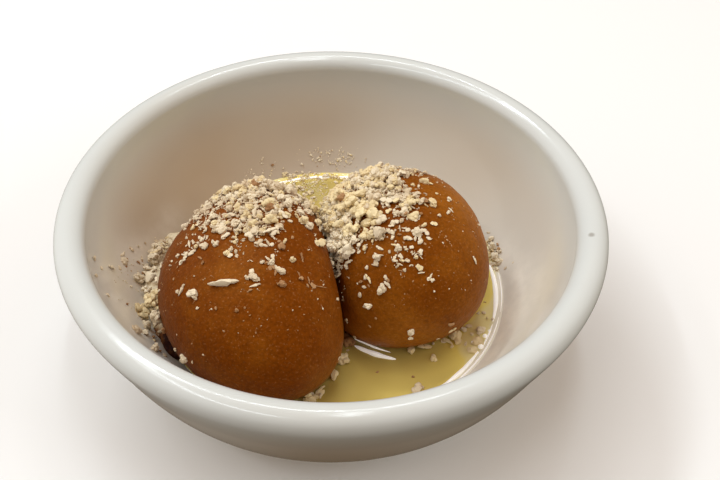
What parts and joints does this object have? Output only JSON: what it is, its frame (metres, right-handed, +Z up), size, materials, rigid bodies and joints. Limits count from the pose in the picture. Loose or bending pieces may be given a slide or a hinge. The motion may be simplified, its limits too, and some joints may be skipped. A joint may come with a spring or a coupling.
{
  "type": "gulab jamun in a dessert bowl",
  "caption": "Soft round milk-dough sweets resting side by side in sugar syrup, strewn with chopped nuts, served in a small white round-rimmed dessert bowl on a foot ring.",
  "frame": {"origin": "middle of the foot ring's underside, on the table", "axes": "+Z up out of the bowl; +X to the right and +Y away as seen by someone facing the bowl, with the longer sweet on the left"},
  "size_m": [0.127, 0.127, 0.0479],
  "materials": {
    "glazed_bowl": "gloss",
    "syrup": "gloss",
    "fried_dough": "satin",
    "chopped_nuts": "matt"
  },
  "bodies": {
    "root": {"bowl": "glazed_bowl", "syrup": "syrup", "gulab_jamun_left": "fried_dough", "gulab_jamun_right": "fried_dough", "nut_heap": "chopped_nuts"}
  },
  "joints": []
}
